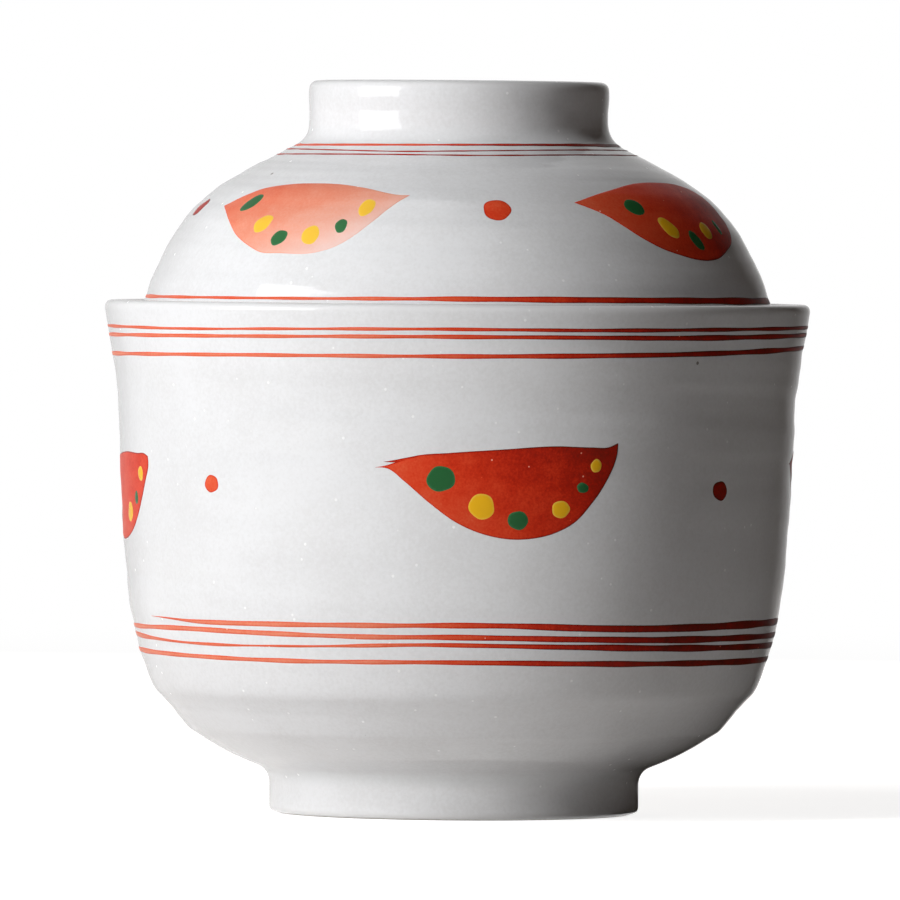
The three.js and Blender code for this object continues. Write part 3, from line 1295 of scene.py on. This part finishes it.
    def inside(self) -> Skin:
        """Inside from the face below the ledge to the middle of the floor.

        Returns:
            The stretch of surface there.
        """
        wall = self.inner_wall(self.belly(), 1, self.floor_share)
        lip_inner, ledge = self.rim_radius - self.lip_wall, self.height - self.ledge_depth
        top = (lip_inner - self.ledge_width, ledge - self.ledge_skirt)
        level = level_to_axis(wall[-2], wall[-1], self.foot_recess + self.floor_thickness)
        return Skin(respaced(np.vstack([[top], wall, level[1:]]), INNER_SPACING), self.inner_relief)

    def foot_ring(self) -> Skin:
        """Wiped clay that the bowl stands on.

        Returns:
            The surface all round its section.
        """
        inner = self.foot_radius - self.foot_ring_width + self.foot_round
        outer, top = self.foot_radius - self.foot_edge, self.core + self.bare_step
        return Skin(rounded((
            (inner, top),
            (inner, 0, self.core),
            (outer, 0, self.core),
            (outer, top),
            (inner + self.core, top),
        )))

    def ledge_ring(self) -> Skin:
        """Wiped clay that the lid sits on.

        Returns:
            The surface all round its section.
        """
        outer = self.rim_radius - self.lip_wall - self.ledge_round
        inner = outer - self.ledge_width + 2 * self.ledge_round
        top = self.height - self.ledge_depth
        return Skin(rounded((
            (inner, top - self.core),
            (outer, top - self.core),
            (outer, top, self.bare_step),
            (inner, top, self.bare_step),
            (inner, top - self.core + self.bare_step),
        )))

    def build(self) -> None:
        """Makes the bowl and all that is on it."""
        outside = self.outside()
        sections = (self.under(), outside, self.lip(), self.inside())
        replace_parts(self.settle(turned_piece("bowl_glazed", sections), Slot.GLAZE), self.name)
        self.settle(turned_piece("bowl_foot_ring", (self.foot_ring(),), closed=True), Slot.BARE)
        self.settle(turned_piece("bowl_ledge_ring", (self.ledge_ring(),), closed=True), Slot.BARE)
        self.decorate(outside)


@dataclass
class Lid(Pot):
    """Domed lid with a ring knob."""

    name: str = "lid"
    # Each line's paint runs heavier on the shaded right, partly as painted shade.
    lines: tuple[BrushLine, ...] = (
        BrushLine(
            touches=(
                (-160.0, 93.2, 0.42), (-60.0, 93.3, 0.42), (-20.0, 93.28, 0.42), (4.0, 93.2, 0.42),
                (47.0, 93.38, 0.45), (180.0, 93.65, 0.42), (295.0, 93.95, 0.4), (322.0, 93.8, 0.4),
                (341.0, 93.68, 0.42), (364.0, 93.8, 0.42), (410.0, 94.1, 0.45), (520.0, 94.2, 0.4),
            ),
            coats_with_painted_shade=(1.1, 1.5),
        ),
        BrushLine(
            touches=(
                (-170.0, 94.5, 0.6), (-73.0, 94.63, 0.65), (0.0, 94.67, 0.6), (60.0, 94.82, 0.85),
                (175.0, 94.85, 0.6),
            ),
            coats_with_painted_shade=(0.75, 1.9),
        ),
        BrushLine(
            touches=(
                (-175.0, 73.1, 0.7), (-73.0, 73.08, 0.55), (-29.0, 73.13, 0.47), (-6.0, 73.22, 0.72),
                (25.0, 73.2, 1.0), (40.0, 73.17, 1.05), (73.0, 73.08, 1.1), (140.0, 73.05, 1.0),
                (200.0, 73.2, 0.8),
            ),
            coats_with_painted_shade=(0.55, 1.65),
        ),
    )
    leaves: tuple[Leaf, ...] = (
        BLUNT_LEAF,
        POINTED_LEAF,
        BLUNT_LEAF.moved(142.0, 84.4, 1.0, 0.95, Wash(0.85, lost_right=0.3, lost_down=0.15)),
        POINTED_LEAF.moved(-126.0, 84.5, 0.97, 1.0, Wash(0.9, lost_right=0.2)),
    )
    spots: tuple[tuple[float, float, Dot], ...] = (
        (8.3, 85.6, Dot(0, 0, 2.1, 1.9, seed=5.0)),
        (-76.5, 85.7, Dot(0, 0, 1.8, 1.7, seed=6.0, coat=1.6)),
        (97.0, 85.4, Dot(0, 0, 1.9, 1.9, seed=7.0)),
        (-173.0, 85.7, Dot(0, 0, 2.0, 2.0, seed=8.0)),
    )
    edge_round: float = 0.6  # rounding of the lid's edge
    crown_thickness: float = 4.2  # in the middle, under the recess of the knob
    crown_slope: float = 26.6  # degrees that the dome falls away from the knob
    edge_lean: float = 18.7  # degrees that the dome leans in at its edge
    crown_fullness: float = 0.6  # reach of a curve's handle across its span, as the next one is
    edge_fullness: float = 0.67
    crown_share: float = 0.2  # share of the dome over which the inside runs level instead
    knob_radius: float = 21.3
    knob_height: float = 8.3  # down to where the dome would meet the ring
    knob_wall: float = 3.6
    knob_recess: float = 6.0
    knob_round: float = 1.5
    knob_fillet: float = 2.4
    bare_height: float = 0.9  # of the wiped stretch over the lid's edge
    relief: Relief = Relief(
        ring_pitch=6.0,
        ring_rise=0.05,
        sway=0.04,
        facets=(
            (71.0, 0.0), (73.4, -0.1), (75.2, 0.1), (78.0, 0.0), (95.0, 0.0), (99.4, -0.12),
            (101.3, 0.02), (102.6, 0.0),
        ),
    )
    inner_relief: Relief = Relief(ring_pitch=6.0, ring_rise=0.06, sway=0.03, margin=8.0)
    radius: float = field(init=False)
    edge: float = field(init=False)  # height of the edge
    top: float = field(init=False)  # height of the top of the knob

    def __post_init__(self) -> None:
        """Takes the overall size from the frame."""
        low, high = (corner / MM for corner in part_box(self.name))
        self.radius, self.edge, self.top = high.x, low.z, high.z

    def dome(self) -> Array:
        """Curves the outside from the edge up to the ring knob.

        Returns:
            Points of the profile.
        """
        start = (self.radius, self.edge + self.edge_round)
        end = (self.knob_radius, self.top - self.knob_height)
        run = self.crown_fullness * (start[0] - end[0])
        rise = self.edge_fullness * (end[1] - start[1])
        edge_handle = (start[0] - rise * slope(self.edge_lean), start[1] + rise)
        crown_handle = (end[0] + run, end[1] - run * slope(self.crown_slope))
        return cubic(start, edge_handle, crown_handle, end)

    def inside(self) -> Skin:
        """Underside from the axis to the glaze line inside the edge.

        Returns:
            The stretch of surface there.
        """
        dome = self.dome()
        lowest = (self.wall * slope(self.edge_lean) + self.edge_round) / lengths_along(dome)[-1]
        wall = self.inner_wall(dome, 1 - self.crown_share, lowest)
        level = level_to_axis(wall[1], wall[0], self.top - self.knob_recess - self.crown_thickness)
        return Skin(respaced(np.vstack([level[:0:-1], wall]), INNER_SPACING), self.inner_relief)

    def rim(self, inner: float) -> Skin:
        """Edge between the glaze lines, where the bare ring sits.

        Args:
            inner: Radius of the inside at the edge.

        Returns:
            The stretch of surface there.
        """
        wiped = self.edge + self.bare_height
        outer = float(np.interp(wiped, *self.dome().T[::-1]))
        return Skin(rounded((
            (inner, wiped + self.core),
            (inner, wiped),
            (inner + self.core, wiped),
            (outer - self.core, wiped),
            (outer, wiped, self.bare_step),
            (outer - self.bare_step * slope(self.edge_lean), wiped + 2 * self.bare_step),
        )))

    def outside(self) -> Skin:
        """Outside from the glaze line over the edge to the round of the knob.

        Returns:
            The stretch of surface there.
        """
        dome = self.dome()
        lengths = lengths_along(dome)
        wiped = self.edge + self.bare_height + 2 * self.bare_step
        below = dome[(lengths < lengths[-1] - self.knob_fillet) & (dome[:, 1] > wiped)]
        foot = (self.knob_radius, self.top - self.knob_height)
        fillet = quadratic(below[-1], foot, (foot[0], foot[1] + self.knob_fillet), ROUND_STEPS)
        neck = np.array([[self.knob_radius, self.top - self.knob_round]])
        return Skin(respaced(np.vstack([below, fillet[1:], neck]), SKIN_SPACING), self.relief)

    def knob(self) -> Skin:
        """Round of the ring knob and the recess inside it.

        Returns:
            The stretch of surface there.
        """
        inner, floor = self.knob_radius - self.knob_wall, self.top - self.knob_recess
        return Skin(rounded((
            (self.knob_radius, self.top - self.knob_round),
            (self.knob_radius, self.top, self.knob_round),
            (inner, self.top, self.knob_round),
            (inner, floor, self.knob_round),
            (0, floor),
        )))

    def edge_ring(self, inner: float) -> Skin:
        """Wiped clay of the edge that the lid sits on.

        Args:
            inner: Radius of the inside at the edge.

        Returns:
            The surface all round its section.
        """
        wiped = self.edge + self.bare_height + 2 * self.bare_step
        outer = self.radius - self.bare_step
        return Skin(rounded((
            (inner + self.bare_step, wiped),
            (inner + self.bare_step, self.edge, self.edge_round),
            (outer, self.edge, self.edge_round),
            (outer - self.bare_height * slope(self.edge_lean), wiped),
            (inner + self.core, wiped),
        )))

    def build(self) -> None:
        """Makes the lid and all that is on it."""
        inside, outside = self.inside(), self.outside()
        inner = inside.profile[-1][0]
        sections = (inside, self.rim(inner), outside, self.knob())
        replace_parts(self.settle(turned_piece("lid_glazed", sections), Slot.GLAZE), self.name)
        self.settle(turned_piece("lid_edge_ring", (self.edge_ring(inner),), closed=True), Slot.BARE)
        self.decorate(outside)


@dataclass(frozen=True)
class Lamp:
    """Soft lamp that faces the object's axis."""

    name: str
    angle: float  # degrees round the axis, from the front to the right
    height: float
    power: float
    distance: float = 700.0
    wide: float = 460.0
    tall: float = 570.0
    colour: Colour = (0.98, 0.99, 1.0)
    in_gloss: bool = True  # whether the glaze mirrors it

    def hang(self) -> None:
        """Hangs the lamp."""
        data = bpy.data.lights.new(self.name, "AREA")
        data.shape, data.size, data.size_y = "RECTANGLE", self.wide * MM, self.tall * MM
        data.energy, data.color = self.power, self.colour
        lamp = bpy.data.objects.new(self.name, data)
        angle = math.radians(self.angle)
        away = Vector((math.sin(angle), -math.cos(angle), 0.0)) * self.distance
        place = (away + Vector((0.0, 0.0, self.height))) * MM
        lamp.matrix_world = Matrix.Translation(place) @ away.to_track_quat("Z", "Y").to_matrix().to_4x4()
        lamp.visible_camera = False
        lamp.visible_glossy = self.in_gloss
        bpy.context.scene.collection.objects.link(lamp)


@dataclass(frozen=True)
class Studio:
    """Camera, soft lamps, white surroundings, a pale floor and a dark card for the reflections."""

    camera_distance: float = 1986.0
    camera_height: float = 85.5
    aim_height: float = 51.5
    aim_right: float = -0.9
    camera_roll: float = 0.45
    lens: float = 560.0
    sensor: float = 36.0
    lamps: tuple[Lamp, ...] = (
        Lamp("key_lamp", -64.0, 282.0, power=1.6, tall=375.0),
        Lamp("top_lamp", -45.0, 800.0, power=4.45, wide=160.0, in_gloss=False),
        Lamp("front_lamp", -46.0, 120.0, power=2.75, wide=160.0, in_gloss=False),
        Lamp("back_lamp", 176.0, 200.0, power=1.0, tall=300.0, colour=(1.0, 0.92, 0.84), in_gloss=False),
    )
    room: Colour = (0.006, 0.002, 0.0)  # light from all round
    floor_radius: float = 3000.0
    floor_colour: Colour = (0.785, 0.765, 0.745)
    floor_shine: float = 0.84  # white that the floor shows of itself, beside the light that falls on it
    floor_fade: Point = (250.0, 900.0)  # distances between which the floor turns to plain white
    floor_clouds: Point = (90.0, 0.97)  # size and tone
    card_colour: Colour = (0.055, 0.036, 0.026)
    card_wall: tuple[Point, ...] = (  # angle and cover, as in the next two
        (15.0, 0.0), (55.0, 1.0), (140.0, 1.0), (173.0, 0.3), (215.0, 0.3), (235.0, 0.0),
    )
    card_floor: tuple[Point, ...] = ((-45.0, 0.25), (10.0, 0.25), (65.0, 1.0), (140.0, 1.0), (200.0, 0.3))
    card_roof: tuple[Point, ...] = ((-20.0, 0.0), (30.0, 1.0), (215.0, 1.0), (255.0, 0.0))
    card_radii: Point = (25.5, 330.0)
    card_height: float = 420.0
    card_lift: float = 0.5  # over the floor
    card_fold: float = 0.4  # share of the outer radius, from which it covers what the wall covers
    card_clouds: Point = (40.0, 0.8)  # size and tone
    card_steps: int = 121

    def camera(self) -> None:
        """Sets the camera up."""
        data = bpy.data.cameras.new("camera")
        data.lens, data.sensor_width = self.lens, self.sensor
        camera = bpy.data.objects.new("camera", data)
        place = Vector((self.aim_right, -self.camera_distance, self.camera_height)) * MM
        aim = Vector((self.aim_right, 0.0, self.aim_height)) * MM
        roll = Matrix.Rotation(math.radians(self.camera_roll), 3, "Z")
        turn = (aim - place).to_track_quat("-Z", "Y").to_matrix() @ roll
        camera.matrix_world = Matrix.Translation(place) @ turn.to_4x4()
        bpy.context.scene.collection.objects.link(camera)
        bpy.context.scene.camera = camera

    def seen(self, bench: Bench) -> Wire:
        """Tells rays that show a thing itself from those that light others with it.

        Args:
            bench: Node tree that asks.

        Returns:
            1 for the camera's rays, reflected ones and refracted ones, otherwise 0.
        """
        path = bench.node("LightPath", output="Is Camera Ray")
        shown = path + path.other("Is Glossy Ray") + path.other("Is Transmission Ray")
        return bench.step(shown, 0.0, 1.0)

    def surroundings(self) -> None:
        """Makes the world white to look at and dim as a light."""
        world = bpy.data.worlds.new("surroundings")
        world.use_nodes = True
        bpy.context.scene.world = world
        bench = Bench(world.node_tree)
        colour = bench.mix(self.room, (1.0, 1.0, 1.0), self.seen(bench))
        bench.node("OutputWorld", None, {"Surface": bench.node("Background", None, {"Color": colour})})

    def floor(self) -> None:
        """Lays the floor, which can't be seen from below."""
        bench, material = Bench.for_material("floor")
        size, tone = self.floor_clouds
        clouds = bench.noise(size, seed=31.0)
        pale = bench.mix(self.floor_colour, [tone * part for part in self.floor_colour], clouds)
        matt = bench.node("BsdfDiffuse", None, {"Color": pale})
        shine = bench.node("Emission", None, {"Strength": self.floor_shine})
        near = bench.node("AddShader", None, {0: matt, 1: shine})
        away = bench.node("VectorMath", {"operation": "LENGTH"}, {0: bench.coordinates()}, output="Value")
        fade = bench.step(away, self.floor_fade[0] * MM, self.floor_fade[1] * MM)
        white = bench.node("MixShader", None, {0: fade, 1: near, 2: bench.node("Emission")})
        shown = bench.node("MixShader", None, {0: self.seen(bench), 1: matt, 2: white})
        below = bench.node("NewGeometry", output="Backfacing")
        clear = bench.node("BsdfTransparent")
        one_sided = bench.node("MixShader", None, {0: below, 1: shown, 2: clear})
        bench.node("OutputMaterial", None, {"Surface": one_sided})
        rim = np.linspace(0, TURN, TURN_SEGMENTS, endpoint=False)
        points = np.stack([np.cos(rim), np.sin(rim), 0 * rim], axis=1) * self.floor_radius * MM
        mesh = bpy.data.meshes.new("floor")
        mesh.from_pydata(points.tolist(), [], [list(range(TURN_SEGMENTS))])
        mesh.materials.append(material)
        floor = bpy.data.objects.new("floor", mesh)
        bpy.context.scene.collection.objects.link(floor)

    def card(self) -> None:
        """Sets the dark card round the front and the right, which only reflections show."""
        bench, material = Bench.for_material("card")
        size, tone = self.card_clouds
        clouds = bench.noise(size, seed=32.0)
        colour = bench.mix(self.card_colour, [tone * part for part in self.card_colour], clouds)
        dark, clear = bench.node("BsdfDiffuse", None, {"Color": colour}), bench.node("BsdfTransparent")
        shown = bench.node("MixShader", None, {0: bench.trait(Trait.COAT), 1: clear, 2: dark})
        bench.node("OutputMaterial", None, {"Surface": shown})
        angles = np.linspace(self.card_roof[-1][0] - 360, self.card_roof[-1][0], self.card_steps)
        turn = np.radians(angles)
        inner, outer = self.card_radii
        low, top = self.card_lift, self.card_height
        fold = self.card_fold * outer
        profile = ((inner, low), (fold, low), (outer, low), (outer, top), (inner, top + outer))
        rows = [np.stack([r * np.sin(turn), -r * np.cos(turn), 0 * turn + z], axis=1) for r, z in profile]
        stretches = (self.card_floor, self.card_wall, self.card_wall, self.card_wall, self.card_roof)
        cover = np.concatenate([np.interp(angles, *np.array(stretch).T) for stretch in stretches])
        faces = grid_faces(len(profile), len(angles), ring=False)
        card = mesh_piece("card", np.concatenate(rows) * MM, faces, {Trait.COAT: cover})
        card.data.materials.append(material)
        card.visible_camera = card.visible_diffuse = card.visible_shadow = False

    def build(self) -> None:
        """Sets the whole studio up."""
        bpy.context.scene.view_settings.view_transform = "Standard"
        self.camera()
        for lamp in self.lamps:
            lamp.hang()
        self.surroundings()
        self.floor()
        self.card()


def main() -> None:
    """Builds the studio, the bowl and the lid."""
    logging.basicConfig(level=logging.INFO, format="%(message)s")
    Studio().build()
    finishes = {
        Slot.GLAZE: Glaze().material(),
        Slot.BARE: BarePorcelain().material(),
        Slot.RED: RedEnamel().material(),
        Slot.GREEN: DotEnamel(Slot.GREEN, (0.018, 0.13, 0.036), (0.06, 0.21, 0.085), seed=41.0).material(),
        Slot.YELLOW: DotEnamel(Slot.YELLOW, (1.0, 0.54, 0.012), (0.99, 0.66, 0.1), seed=51.0).material(),
    }
    Bowl(finishes).build()
    Lid(finishes).build()


if __name__ == "__main__":
    main()
